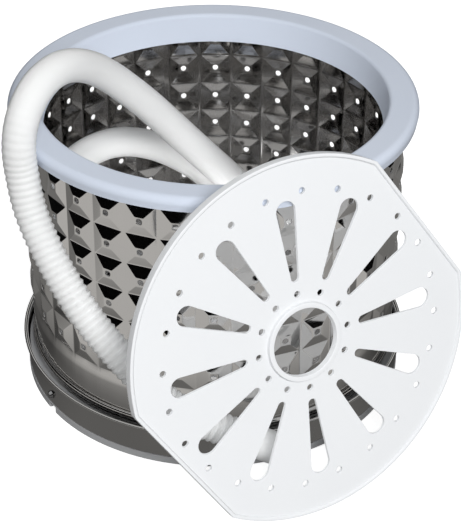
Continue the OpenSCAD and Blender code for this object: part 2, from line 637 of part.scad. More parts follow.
module drain_hose() color("whitesmoke")
    polyhedron(points = concat(hose_skin, hose_lining),
        faces = concat(tube_faces(len(outer_stops), 0, true),
            tube_faces(len(bore_stops), len(hose_skin), false),
            end_faces(0, len(hose_skin), false),
            end_faces(len(hose_skin) - hose_sides, len(hose_skin) + len(hose_lining) - hose_sides, true)));

module hose_cuff() color("whitesmoke")
    on_hose(0, -hose_dir(0)) difference() {
        cylinder(d = cuff_d, h = cuff_len, $fn = 48);
        translate([0, 0, -1]) cylinder(d = hose_bore, h = cuff_len + 2, $fn = 48);
    }

module hose_connector() color("whitesmoke")
    on_hose(hose_len, hose_dir(hose_len)) difference() {
        rotate_extrude() polygon([
            [hose_bore / 2, 0], [hose_d / 2, 0], [connector_d / 2, 3], [connector_d / 2, connector_len - 4],
            [connector_d / 2 - 1, connector_len], [hose_bore / 2, connector_len]]);
        for (i = [0:2]) translate([0, 0, connector_len * (0.4 + 0.18 * i)])
            rotate_extrude() translate([connector_d / 2, 0]) circle(r = 0.8, $fn = 16);
    }

drum_wall();
drum_floor();
rim_cover();
rim_channel();
rim_plugs();
base_pan();
base_skirt();
skirt_screws();
drive_hub();
hub_bush();
floor_washer();
clamp_ring();
clamp_bolts();
clamp_nuts();
hub_cap();
press_plate();
drain_hose();
hose_cuff();
hose_connector();
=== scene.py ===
import math
import bmesh
import bpy
from mathutils import Matrix, Vector


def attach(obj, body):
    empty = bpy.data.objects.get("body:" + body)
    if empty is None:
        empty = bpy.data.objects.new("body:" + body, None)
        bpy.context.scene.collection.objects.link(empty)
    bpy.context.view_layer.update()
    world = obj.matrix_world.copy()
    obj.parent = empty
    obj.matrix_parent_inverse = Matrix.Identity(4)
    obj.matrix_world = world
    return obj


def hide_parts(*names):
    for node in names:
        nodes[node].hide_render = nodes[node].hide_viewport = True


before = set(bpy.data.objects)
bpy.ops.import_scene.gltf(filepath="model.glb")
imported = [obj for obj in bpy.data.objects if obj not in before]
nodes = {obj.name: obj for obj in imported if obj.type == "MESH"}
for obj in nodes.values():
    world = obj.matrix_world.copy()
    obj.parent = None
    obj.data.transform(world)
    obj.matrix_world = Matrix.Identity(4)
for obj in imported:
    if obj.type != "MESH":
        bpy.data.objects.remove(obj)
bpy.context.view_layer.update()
scene = bpy.context.scene
mm = 0.001
print("frame loaded")

# The dictionary above a piece's code holds what can be changed about it, in millimetres and degrees

# Camera, as fitted to the photograph, with its angles in radians and clipEnd in metres
cameraSet = {"place": (0, -1067.72, 790.42), "pan": 0.0115, "tilt": 0.5899, "roll": 0.0082,
    "lens": 123.05, "sensor": 36, "clipEnd": 50}
pan, tilt, roll = cameraSet["pan"], cameraSet["tilt"], cameraSet["roll"]
forward = Vector((math.sin(pan) * math.cos(tilt), math.cos(pan) * math.cos(tilt), -math.sin(tilt)))
level = Vector((math.cos(pan), -math.sin(pan), 0))
upward = level.cross(forward)
right = math.cos(roll) * level + math.sin(roll) * upward
upward = -math.sin(roll) * level + math.cos(roll) * upward
camera = bpy.data.objects.new("camera", bpy.data.cameras.new("camera"))
camera.data.lens = cameraSet["lens"]
camera.data.sensor_width = cameraSet["sensor"]
camera.data.clip_end = cameraSet["clipEnd"]
place = Vector(cameraSet["place"]) * mm
camera.matrix_world = Matrix((
    (right.x, upward.x, -forward.x, place.x),
    (right.y, upward.y, -forward.y, place.y),
    (right.z, upward.z, -forward.z, place.z),
    (0, 0, 0, 1)))
scene.collection.objects.link(camera)
scene.camera = camera
print("camera placed")


def meshObject(name, points, faces, smooth=True):
    mesh = bpy.data.meshes.new(name)
    mesh.from_pydata([tuple(p) for p in points], [], faces)
    mesh.update()
    if smooth:
        mesh.polygons.foreach_set("use_smooth", [True] * len(mesh.polygons))
    obj = bpy.data.objects.new(name, mesh)
    scene.collection.objects.link(obj)
    return obj


def polar(r, angle, z):
    a = math.radians(angle)
    return Vector((r * math.sin(a), -r * math.cos(a), z)) * mm


# Hose: a smooth line through the route's points, then rings along it, with ribs on its first stretch.
# fade is the length over which the ribs end, and a higher point makes their crests sharper.
hoseSet = {"diameter": 22.0, "bore": 16.0, "rib": 1.25, "pitch": 4.6, "ribbed": 286, "fade": 90, "point": 0.9,
    "sides": 32, "steps": 8, "smoothRings": 360, "boreRings": 240, "pathPoints": 400,
    "route": [(22, -147, 36), (11, -147.5, 41.5), (0, -148, 47), (-11, -148.5, 52.5), (-31, -147, 67),
        (-54, -140.5, 90), (-79, -128, 117), (-100, -112.5, 147), (-115, -97, 176), (-121, -89, 203),
        (-122, -86.5, 224), (-118.5, -80, 241), (-111, -68, 253), (-101, -53, 257), (-91, -37, 253),
        (-80, -19, 242), (-69, -5, 228), (-57, 6, 212), (-44, 15, 195), (-31, 23, 177), (-16, 32, 156),
        (2, 43, 131), (21, 53, 106), (41, 59, 84), (62, 59, 66), (83, 50, 52), (100, 34, 42), (110, 12, 38),
        (113, -14, 37.5), (107, -41, 37.5), (93, -67, 37.5), (71, -90, 37.5), (44, -106, 37.5),
        (14, -114, 38), (-16, -114, 40), (-45, -105.5, 46), (-71, -90.5, 57), (-92, -69, 73),
        (-106, -43, 91), (-113, -17, 107), (-113, 10, 119), (-106, 38, 127), (-91, 65, 129), (-69, 89, 124),
        (-43, 105, 111), (-16, 114, 91), (3, 115, 73), (17, 113, 60), (28, 109.5, 53), (38, 104, 49),
        (47, 98, 47), (56, 92, 45)]}


def smoothLine(route, steps=12):
    q = [Vector(p) for p in route]
    q = [2 * q[0] - q[1]] + q + [2 * q[-1] - q[-2]]
    line = []
    for i in range(1, len(q) - 2):
        a, b, c, d = q[i - 1:i + 3]
        for s in range(steps):
            t = s / steps
            line.append((2 * b + (c - a) * t + (2 * a - 5 * b + 4 * c - d) * t * t
                + (3 * b - a - 3 * c + d) * t ** 3) / 2)
    return line + [q[-2]]


class Track:
    def __init__(self, line):
        self.line = line
        self.at = [0.0]
        for a, b in zip(line, line[1:]):
            self.at.append(self.at[-1] + (b - a).length)
        self.length = self.at[-1]

    def point(self, s):
        s = min(max(s, 0.0), self.length)
        lo, hi = 0, len(self.at) - 1
        while hi - lo > 1:
            mid = (lo + hi) // 2
            if self.at[mid] <= s:
                lo = mid
            else:
                hi = mid
        t = (s - self.at[lo]) / (self.at[hi] - self.at[lo])
        return self.line[lo].lerp(self.line[hi], t)

    def direction(self, s):
        return (self.point(s + 1) - self.point(s - 1)).normalized()


def sweep(track, stops, sides):
    points = []
    side = None
    for s, r in stops:
        t = track.direction(s)
        side = Vector((0, 0, 1)) if side is None else side
        side = (side - side.dot(t) * t).normalized()
        other = t.cross(side)
        c = track.point(s)
        for m in range(sides):
            a = 2 * math.pi * m / sides
            points.append((c + r * (math.cos(a) * side + math.sin(a) * other)) * mm)
    return points


def tubeFaces(rings, sides, first=0, inward=False):
    faces = []
    for i in range(rings - 1):
        for m in range(sides):
            a, b = first + i * sides + m, first + i * sides + (m + 1) % sides
            face = (a, b, b + sides, a + sides)
            faces.append(face[::-1] if inward else face)
    return faces


def makeHose():
    h = hoseSet
    track = Track(smoothLine(h["route"]))
    ribs = int(h["ribbed"] / h["pitch"])
    crest = h["diameter"] / 2
    stops = []
    for i in range(ribs * h["steps"]):
        s = i * h["pitch"] / h["steps"]
        wave = 1 - abs(2 * (i % h["steps"]) / h["steps"] - 1)
        left = min(1.0, (ribs * h["pitch"] - s) / h["fade"])
        stops.append((s, crest - h["rib"] * left * (1 - wave ** h["point"])))
    first = ribs * h["pitch"]
    smooth, bore, way = h["smoothRings"], h["boreRings"], h["pathPoints"]
    stops += [(first + (track.length - first) * i / smooth, crest) for i in range(smooth + 1)]
    inner = [(track.length * i / bore, h["bore"] / 2) for i in range(bore + 1)]
    points = sweep(track, stops, h["sides"])
    first = len(points)
    points += sweep(track, inner, h["sides"])
    n = h["sides"]
    faces = tubeFaces(len(stops), n) + tubeFaces(len(inner), n, first, True)
    for m in range(n):
        k = (m + 1) % n
        faces.append((k, m, first + m, first + k))
        a, b = first - n, len(points) - n
        faces.append((a + m, a + k, b + k, b + m))
    hose = meshObject("ribbedHose", points, faces)
    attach(hose, "basket")
    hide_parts("drain_hose")
    ends = [nodes["hose_cuff"], nodes["hose_connector"]]
    for piece in [hose] + ends:
        piece.visible_glossy = False
    return hose


hose = makeHose()
print("hose made")


# Drum wall: every pyramid is a patch of loops from its round hole over its flat and facets to its folds.
# land is the flat's width, and edge rounds its rim. hip is where a corner's ridge meets the next cell, as a
# share of half a cell. shallow is the slope of the upper and lower facets against the side ones, and crease
# rounds the folds.
drumSet = {"radius": 130, "sheet": 0.6, "columns": 34, "rows": 6, "rowHeight": 23.1, "emboss": 2.0,
    "land": 6.0, "hole": 4.0, "holeLip": 0.3, "dish": 0.12, "flatFrom": 2.6, "crownSink": 0.03,
    "facetStops": (0, 0.06, 0.16, 0.5, 0.87, 0.95, 1), "hip": 0.88, "hipSpread": 0.06,
    "shallow": 0.86, "sag": 0.06, "crease": 0.04, "edge": 0.09, "crispness": 90,
    "seam": 3.4, "seamAt": 196, "seamParts": (0.25, 0.5, 0.75), "collar": 8.4, "collarLine": 2,
    "bandFoot": 24, "bandMid": 45, "bandTop": 61, "bandSink": 1,
    "bandSlope": ((0.15, 2), (0.5, 4.5), (0.85, 7), (1, 9)),
    "bead": 1.2, "beadShape": 1.2, "beadUp": 6, "beadHalf": 2.4, "beadReach": 3.2, "beadSteps": 8}


def soft(x, r):  # max(x, 0) with its corner rounded over r to each side
    return x if x > r else (0 if x < -r else (x + r) ** 2 / (4 * r))


def cellSpokes(d):
    hip, near, far = d["hip"], d["hip"] - d["hipSpread"], d["hip"] + d["hipSpread"]
    upper = [((1, 1), (hip, 1)), ((0.9, 1), (near, 1)), ((0.45, 1), (0.35, 1)), ((0, 1), (0, 1)),
        ((-0.45, 1), (-0.35, 1)), ((-0.9, 1), (-near, 1))]
    left = [((-1, 1), (-hip, 1)), ((-1, 0.92), (-far, 1)), ((-1, 0.8), (-1, 1)), ((-1, 0.4), (-1, 0.6)),
        ((-1, 0), (-1, 0)), ((-1, -0.4), (-1, -0.6)), ((-1, -0.8), (-1, -1)), ((-1, -0.92), (-far, -1))]
    half = upper + left
    return half + [((-p[0], -p[1]), (-q[0], -q[1])) for p, q in half]


def makeDrumWall():
    d = drumSet
    seamAngle = math.degrees(d["seam"] / d["radius"])
    step = (360 - seamAngle) / d["columns"]
    valley = d["radius"] - d["emboss"]
    chordOut = valley * math.cos(math.radians(step / 2))
    halfW = valley * math.sin(math.radians(step / 2))
    halfH = d["rowHeight"] / 2
    land = d["land"] / 2
    tall = d["radius"] - d["crownSink"] - chordOut
    holeEdge = d["hole"] / 2 + d["holeLip"]
    start = d["seamAt"] + seamAngle / 2
    top = d["bandTop"] + d["rows"] * d["rowHeight"]
    spokes = cellSpokes(d)
    points, faces, seen = [], [], {}

    def put(key, p):
        if key not in seen:
            seen[key] = len(points)
            points.append(p)
        return seen[key]

    def rounded(x):
        return soft(x - d["edge"] / 3, d["edge"]) - soft(x - 1 + d["crease"] / 2, d["crease"])

    def height(x, z):
        across = rounded((abs(x) - land) / (halfW - land))
        along = d["shallow"] * rounded((abs(z) - land) / (halfH - land))
        fall = across + soft(along - across, d["crease"] / 2)
        return tall * (1 - fall) - d["sag"] * tall * max(across, along)

    def cellPoint(k, j, x, z, sink):
        a = math.radians(start + (k + 0.5) * step)
        out = chordOut + height(x, z) - sink
        return Vector((out * math.sin(a) + x * math.cos(a), -out * math.cos(a) + x * math.sin(a),
            d["bandTop"] + (j + 0.5) * d["rowHeight"] + z)) * mm

    def cellLoop(k, j, kind, t):
        loop = []
        for m, (flat, edge) in enumerate(spokes):
            if kind == "hole":
                a = math.atan2(flat[1], flat[0])
                x, z = t * math.cos(a), t * math.sin(a)
                sink = d["dish"] * (holeEdge - t) / d["holeLip"]
            elif kind == "flat":
                x, z, sink = flat[0] * t, flat[1] * t, 0
            else:
                x = flat[0] * land * (1 - t) + edge[0] * halfW * t
                z = flat[1] * land * (1 - t) + edge[1] * halfH * t
                sink = 0
            key = (k, j, kind, t, m)
            if kind == "facet" and t == 1:
                key = (round(start + (k + 0.5 + edge[0] / 2) * step, 3), round(j + 0.5 + edge[1] / 2, 3))
            loop.append(put(key, cellPoint(k, j, x, z, sink)))
        return loop

    stops = [("hole", d["hole"] / 2), ("hole", holeEdge), ("flat", d["flatFrom"])]
    stops += [("facet", t) for t in d["facetStops"]]
    for j in range(d["rows"]):
        for k in range(d["columns"]):
            loops = [cellLoop(k, j, kind, t) for kind, t in stops]
            n = len(spokes)
            for a, b in zip(loops, loops[1:]):
                for m in range(n):
                    faces.append((a[m], b[m], b[(m + 1) % n], a[(m + 1) % n]))

    # The plain band, the collar and the seam strip share the cells' edge points
    across = sorted({round(edge[0], 4) for flat, edge in spokes if edge[1] == 1})[:-1]
    spots = [start + (k + 0.5 + f / 2) * step for k in range(d["columns"]) for f in across]
    spots.append(start + d["columns"] * step)
    strip = [start - seamAngle + 360 + seamAngle * f for f in d["seamParts"]]
    radius, beadZ = d["radius"] - d["bandSink"], d["bandFoot"] + d["beadUp"]
    bandRows = [(valley, 0)] + [(valley + t * (radius - valley), -z) for t, z in d["bandSlope"]]
    bandRows += [(radius, d["bandMid"] - d["bandTop"]), (radius, beadZ + d["beadReach"] - d["bandTop"])]
    for i in range(d["beadSteps"] + 1):
        a = math.pi * i / d["beadSteps"]
        out = radius + d["bead"] * math.sin(a) ** d["beadShape"]
        bandRows.append((out, beadZ + d["beadHalf"] * math.cos(a) - d["bandTop"]))
    bandRows += [(radius, beadZ - d["beadReach"] - d["bandTop"]), (radius, d["bandFoot"] - d["bandTop"])]
    topRows = [(valley, top - d["bandTop"] + z) for z in (d["collar"], d["collarLine"], 0)]

    def rowLoop(r, z):
        line = round(z / d["rowHeight"], 3)
        loop = [put((round(a, 3), line), polar(r, a, d["bandTop"] + z)) for a in spots]
        return loop + [put(("strip", i, line), polar(r, a, d["bandTop"] + z)) for i, a in enumerate(strip)]

    def join(a, b, closed):
        for m in range(len(a) - (0 if closed else 1)):
            n = (m + 1) % len(a)
            faces.append((b[m], b[n], a[n], a[m]))

    for rows in (bandRows, topRows):
        loops = [rowLoop(r, z) for r, z in rows]
        for a, b in zip(loops, loops[1:]):
            join(a, b, True)
    lines = [j + 0.5 + v / 2 for j in range(d["rows"]) for v in (-1, -0.6, 0, 0.6)] + [d["rows"]]
    seamLoops = []
    for line in lines:
        z = d["bandTop"] + line * d["rowHeight"]
        row = [put((round(spots[-1], 3), round(line, 3)), polar(valley, spots[-1], z))]
        row += [put(("strip", i, round(line, 3)), polar(valley, a, z)) for i, a in enumerate(strip)]
        row.append(put((round(spots[0], 3), round(line, 3)), polar(valley, spots[0], z)))
        seamLoops.append(row)
    for a, b in zip(seamLoops, seamLoops[1:]):
        join(b, a, False)

    wall = meshObject("embossedWall", points, faces)
    thick = wall.modifiers.new("sheet", "SOLIDIFY")
    thick.thickness = d["sheet"] * mm
    thick.offset = -1
    crisp = wall.modifiers.new("crisp", "WEIGHTED_NORMAL")
    crisp.weight = d["crispness"]
    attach(wall, "basket")
    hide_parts("drum_wall")
    return wall


wall = makeDrumWall()
print("drum wall made:", len(wall.data.polygons), "faces")


# Press plate: a flat web cut by a filled curve, a rounded rim swept round it and a turned collar
plateSet = {"radius": 121.7, "flat": 109.4, "web": 2.4, "rim": 2.4, "rimDepth": 5.0, "bead": 1.2,
    "centre": 22.9, "collar": 3.4, "collarRise": 2.6, "slots": 12, "slotFrom": 43.9, "slotTo": 88.4,
    "slotIn": 2.8, "slotOut": 6.8, "small": 4.4, "innerRow": 32.7, "outerRow": 99.3,
    "lean": 13.3, "turn": 29.1, "roll": 2.2, "side": -24.8, "up": 119.586, "out": 162.049,
    "flatTurn": 30, "webEdge": 0.25, "collarLap": 0.6, "crispness": 80, "webPoints": 360, "rimPoints": 720,
    "centrePoints": 96, "collarPoints": 128, "smallPoints": 24, "slotSteps": (16, 12)}


def plateOutline(inset, count):
    p = plateSet
    radius, flat = p["radius"] - inset, p["flat"] - inset
    loop = []
    for i in range(count):
        a = 2 * math.pi * i / count
        across = abs(math.cos(a - math.radians(p["flatTurn"])))
        r = min(radius, flat / max(across, 0.01))
        loop.append((r * math.cos(a), r * math.sin(a)))
    return loop


def roundLoop(r, count, x=0.0, y=0.0):
    return [(x + r * math.cos(2 * math.pi * i / count), y + r * math.sin(2 * math.pi * i / count))
        for i in range(count)]


def slotLoop(angle):
    p = plateSet
    lift = math.asin((p["slotOut"] - p["slotIn"]) / (p["slotTo"] - p["slotFrom"]))
    wideSteps, narrowSteps = p["slotSteps"]
    loop = []
    for i in range(wideSteps + 1):
        a = -lift + (math.pi + 2 * lift) * i / wideSteps
        loop.append((p["slotOut"] * math.cos(a), p["slotTo"] + p["slotOut"] * math.sin(a)))
    for i in range(narrowSteps + 1):
        a = math.pi + lift + (math.pi - 2 * lift) * i / narrowSteps
        loop.append((p["slotIn"] * math.cos(a), p["slotFrom"] + p["slotIn"] * math.sin(a)))
    c, s = math.cos(math.radians(angle)), math.sin(math.radians(angle))
    return [(c * x - s * y, s * x + c * y) for x, y in loop]


def filledWeb(name, loops, low, high, edge):
    curve = bpy.data.curves.new(name, "CURVE")
    curve.dimensions = "2D"
    curve.fill_mode = "BOTH"
    curve.extrude = ((high - low) / 2 - edge) * mm
    curve.bevel_depth = edge * mm
    curve.bevel_resolution = 1
    curve.offset = -edge * mm
    for loop in loops:
        spline = curve.splines.new("POLY")
        spline.points.add(len(loop) - 1)
        for point, (x, y) in zip(spline.points, loop):
            point.co = (x * mm, y * mm, 0, 1)
        spline.use_cyclic_u = True
    obj = bpy.data.objects.new(name, curve)
    scene.collection.objects.link(obj)
    mesh = bpy.data.meshes.new_from_object(obj.evaluated_get(bpy.context.evaluated_depsgraph_get()))
    bpy.data.objects.remove(obj)
    mesh.transform(Matrix.Translation((0, 0, (high + low) / 2 * mm)))
    return mesh


def loopedBand(profile, loopAt):
    points, faces = [], []
    n = 0
    for inset, z in profile:
        loop = loopAt(inset)
        n = len(loop)
        points += [(x * mm, y * mm, z * mm) for x, y in loop]
    rows = len(profile)
    for i in range(rows):
        for m in range(n):
            k, j = (m + 1) % n, (i + 1) % rows
            faces.append((i * n + m, j * n + m, j * n + k, i * n + k))
    return points, faces


def makePressPlate():
    p = plateSet
    loops = [plateOutline(p["rim"] / 2, p["webPoints"])]
    loops.append(roundLoop(p["centre"] + p["collarLap"], p["centrePoints"]))
    loops += [slotLoop(i * 360 / p["slots"]) for i in range(p["slots"])]
    for row, count, shift in ((p["innerRow"], p["slots"], 0), (p["outerRow"], 2 * p["slots"], 0.5)):
        for i in range(count):
            a = math.radians(90 + (i + shift) * 360 / count)
            loops.append(roundLoop(p["small"] / 2, p["smallPoints"], row * math.cos(a), row * math.sin(a)))
    web = filledWeb("pressPlate", loops, -p["web"], 0, p["webEdge"])

    # Sections of rim and collar: inset or radius first, then height over the web's face, corners rounded
    deep, high, wide = p["rimDepth"], p["bead"], p["rim"]
    rim = [(0.5, -deep), (0.15, -deep + 0.15), (0, -deep + 0.5), (0, high - 0.5), (0.15, high - 0.15),
        (0.5, high), (wide - 0.6, high), (wide - 0.25, high - 0.2), (wide, 0.35), (wide + 0.15, 0.1),
        (wide + 0.5, -0.02), (wide + 0.5, -p["web"] + 0.02), (wide, -p["web"] - 0.4),
        (wide - 0.1, -deep + 0.3), (wide - 0.4, -deep)]
    inner, outer, rise = p["centre"], p["centre"] + p["collar"], p["collarRise"]
    collar = [(inner + 0.3, -p["web"]), (inner, -p["web"] + 0.3), (inner, rise - 0.5),
        (inner + 0.15, rise - 0.15), (inner + 0.5, rise), (outer - 0.6, rise), (outer - 0.2, rise - 0.2),
        (outer, rise - 0.6), (outer, 0.4), (outer + 0.12, 0.12), (outer + 0.5, -0.02),
        (outer + 0.5, -p["web"] + 0.02), (outer, -p["web"])]
    bm = bmesh.new()
    bm.from_mesh(web)
    sweeps = ((rim, lambda inset: plateOutline(inset, p["rimPoints"])),
        (collar, lambda r: roundLoop(r, p["collarPoints"])))
    for profile, loopAt in sweeps:
        points, faces = loopedBand(profile, loopAt)
        made = [bm.verts.new(v) for v in points]
        for face in faces:
            bm.faces.new([made[i] for i in (face if profile is rim else face[::-1])])
    bmesh.ops.recalc_face_normals(bm, faces=bm.faces)
    lay = (Matrix.Rotation(math.radians(p["turn"]), 4, "Z")
        @ Matrix.Translation(Vector((p["side"], -p["out"], p["up"])) * mm)
        @ Matrix.Rotation(math.radians(90 - p["lean"]), 4, "X")
        @ Matrix.Rotation(math.radians(p["roll"]), 4, "Z"))
    bm.transform(lay)
    mesh = bpy.data.meshes.new("pressPlate")
    bm.to_mesh(mesh)
    bm.free()
    mesh.polygons.foreach_set("use_smooth", [True] * len(mesh.polygons))
    plate = bpy.data.objects.new("slottedPlate", mesh)
    scene.collection.objects.link(plate)
    crisp = plate.modifiers.new("crisp", "WEIGHTED_NORMAL")
    crisp.weight = p["crispness"]
    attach(plate, "plate")
    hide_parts("press_plate")
    return plate


plate = makePressPlate()
print("press plate made:", len(plate.data.polygons), "faces")


# Materials: a shared group gives each a fine grain, broad patches and the roughness made of both
grainSet = {"fineDetail": 6, "patchScale": 18, "patchDetail": 4, "from": 0.35, "to": 0.65}


def makeGrainGroup():
    group = bpy.data.node_groups.new("surfaceGrain", "ShaderNodeTree")
    for name, kind, value in (("Stretch", "NodeSocketVector", (1, 1, 1)), ("Scale", "NodeSocketFloat", 200.0),
            ("Low", "NodeSocketFloat", 0.3), ("High", "NodeSocketFloat", 0.5)):
        socket = group.interface.new_socket(name, in_out="INPUT", socket_type=kind)
        socket.default_value = value
    for name in ("Fine", "Patch", "Roughness"):
        group.interface.new_socket(name, in_out="OUTPUT", socket_type="NodeSocketFloat")
    start, end = group.nodes.new("NodeGroupInput"), group.nodes.new("NodeGroupOutput")
    coords = group.nodes.new("ShaderNodeTexCoord")
    scaled = group.nodes.new("ShaderNodeVectorMath")
    scaled.operation = "MULTIPLY"
    fine = group.nodes.new("ShaderNodeTexNoise")
    fine.inputs["Detail"].default_value = grainSet["fineDetail"]
    patch = group.nodes.new("ShaderNodeTexNoise")
    patch.inputs["Scale"].default_value = grainSet["patchScale"]
    patch.inputs["Detail"].default_value = grainSet["patchDetail"]
    mixed = group.nodes.new("ShaderNodeMath")
    mixed.operation = "ADD"
    half = group.nodes.new("ShaderNodeMath")
    half.operation = "MULTIPLY"
    half.inputs[1].default_value = 0.5
    spread = group.nodes.new("ShaderNodeMapRange")
    spread.inputs["From Min"].default_value = grainSet["from"]
    spread.inputs["From Max"].default_value = grainSet["to"]
    link = group.links.new
    link(coords.outputs["Object"], scaled.inputs[0])
    link(start.outputs["Stretch"], scaled.inputs[1])
    link(scaled.outputs[0], fine.inputs["Vector"])
    link(start.outputs["Scale"], fine.inputs["Scale"])
    link(coords.outputs["Object"], patch.inputs["Vector"])
    link(fine.outputs["Fac"], mixed.inputs[0])
    link(patch.outputs["Fac"], mixed.inputs[1])
    link(mixed.outputs[0], half.inputs[0])
    link(half.outputs[0], spread.inputs["Value"])
    link(start.outputs["Low"], spread.inputs["To Min"])
    link(start.outputs["High"], spread.inputs["To Max"])
    link(fine.outputs["Fac"], end.inputs["Fine"])
    link(patch.outputs["Fac"], end.inputs["Patch"])
    link(spread.outputs["Result"], end.inputs["Roughness"])
    return group


grainGroup = makeGrainGroup()


def makeMaterial(name, colour, shade, rough, grain=(1, 1, 1), grainScale=200, bump=0.02, depth=0.0002,
        **fixed):
    material = bpy.data.materials.new(name)
    material.use_nodes = True
    tree = material.node_tree
    shader = tree.nodes["Principled BSDF"]
    grainNode = tree.nodes.new("ShaderNodeGroup")
    grainNode.node_tree = grainGroup
    grainNode.inputs["Stretch"].default_value = grain
    grainNode.inputs["Scale"].default_value = grainScale
    grainNode.inputs["Low"].default_value = rough[0]
    grainNode.inputs["High"].default_value = rough[1]
    mix = tree.nodes.new("ShaderNodeMix")
    mix.data_type = "RGBA"
    mix.inputs["A"].default_value = (*colour, 1)
    mix.inputs["B"].default_value = (*shade, 1)
    lift = tree.nodes.new("ShaderNodeBump")
    lift.inputs["Strength"].default_value = bump
    lift.inputs["Distance"].default_value = depth
    tree.links.new(grainNode.outputs["Patch"], mix.inputs["Factor"])
    tree.links.new(mix.outputs["Result"], shader.inputs["Base Color"])
    tree.links.new(grainNode.outputs["Roughness"], shader.inputs["Roughness"])
    tree.links.new(grainNode.outputs["Fine"], lift.inputs["Height"])
    tree.links.new(lift.outputs["Normal"], shader.inputs["Normal"])
    for key, value in fixed.items():
        shader.inputs[key.replace("_", " ")].default_value = value
    return material


metal = {"Metallic": 1.0}
materials = {
    "drumSteel": makeMaterial("drumSteel", (0.60, 0.59, 0.575), (0.54, 0.53, 0.52), (0.035, 0.09),
        grain=(1, 1, 10), grainScale=60, bump=0.015, **metal),
    "floorSteel": makeMaterial("floorSteel", (0.64, 0.635, 0.63), (0.58, 0.575, 0.57), (0.16, 0.28),
        **metal),
    "skirtSteel": makeMaterial("skirtSteel", (0.52, 0.51, 0.50), (0.45, 0.445, 0.435), (0.07, 0.15),
        grain=(1, 1, 14), grainScale=50, bump=0.03, **metal),
    "fastenerSteel": makeMaterial("fastenerSteel", (0.36, 0.36, 0.36), (0.28, 0.28, 0.29), (0.2, 0.35),
        **metal),
    "ringPlastic": makeMaterial("ringPlastic", (0.62, 0.675, 0.775), (0.585, 0.64, 0.74), (0.34, 0.46),
        grainScale=320, bump=0.06, depth=0.0001),
    "basePlastic": makeMaterial("basePlastic", (0.46, 0.465, 0.475), (0.40, 0.405, 0.415), (0.42, 0.58)),
    "capPlastic": makeMaterial("capPlastic", (0.74, 0.74, 0.74), (0.68, 0.68, 0.69), (0.32, 0.45)),
    "platePlastic": makeMaterial("platePlastic", (0.81, 0.825, 0.84), (0.79, 0.805, 0.825), (0.3, 0.42),
        grainScale=260, bump=0.05, depth=0.0001),
    "hosePlastic": makeMaterial("hosePlastic", (0.91, 0.92, 0.915), (0.88, 0.89, 0.885), (0.32, 0.44),
        grainScale=150, bump=0.06, depth=0.0002, Subsurface_Weight=0.6, Subsurface_Scale=0.01,
        Subsurface_Radius=(1, 1, 1)),
    "hubAlloy": makeMaterial("hubAlloy", (0.52, 0.53, 0.54), (0.44, 0.45, 0.46), (0.4, 0.6),
        grainScale=500, bump=0.4, depth=0.0003, **metal),
    "bushSteel": makeMaterial("bushSteel", (0.38, 0.38, 0.38), (0.30, 0.30, 0.31), (0.25, 0.4), **metal),
    "washerRubber": makeMaterial("washerRubber", (0.03, 0.03, 0.03), (0.045, 0.045, 0.045), (0.7, 0.9)),
}
wearing = {"drum_floor": "floorSteel", "rim_cover": "ringPlastic", "rim_channel": "ringPlastic",
    "rim_plugs": "ringPlastic", "base_pan": "basePlastic", "base_skirt": "skirtSteel",
    "skirt_screws": "fastenerSteel", "drive_hub": "hubAlloy", "hub_bush": "bushSteel",
    "floor_washer": "washerRubber", "clamp_ring": "floorSteel", "clamp_bolts": "fastenerSteel",
    "clamp_nuts": "fastenerSteel", "hub_cap": "capPlastic", "press_plate": "platePlastic",
    "hose_cuff": "hosePlastic", "hose_connector": "hosePlastic"}


def dress(obj, name):
    obj.data.materials.clear()
    obj.data.materials.append(materials[name])


for name, material in wearing.items():
    dress(nodes[name], material)
dress(hose, "hosePlastic")
dress(wall, "drumSteel")
dress(plate, "platePlastic")
print("materials made")


# Stage: a pale floor, a dark card ring that only reflections see, a white world and soft lamps. Lengths are
# in metres. What metal mirrors of the floor is a grey by distance from the middle, and it is painted shade:
# darker near the middle for the floor's shade around the object, and darker again behind the object, a
# painted shadow.
stageSet = {"floorReach": 6, "floorColour": 0.8, "floorGlow": 0.75, "floorBounce": 0.3, "ambient": 0.42,
    "mirroredFloorPaintedShade": ((0.0, 0.2), (0.17, 0.2), (0.24, 0.65), (0.5, 0.7)), "seenTint": (1, 0.985, 0.96),
    "mirroredPaintedShadowBehind": 0.33, "behindFrom": -0.1, "behindTo": -0.02,
    "cardRing": 0.5, "cardHeights": (0.001, 0.3), "cardSides": 48, "cardColour": (0.01, 0.01, 0.01, 1)}


def emptyTree(owner):
    owner.use_nodes = True
    owner.node_tree.nodes.clear()
    return owner.node_tree


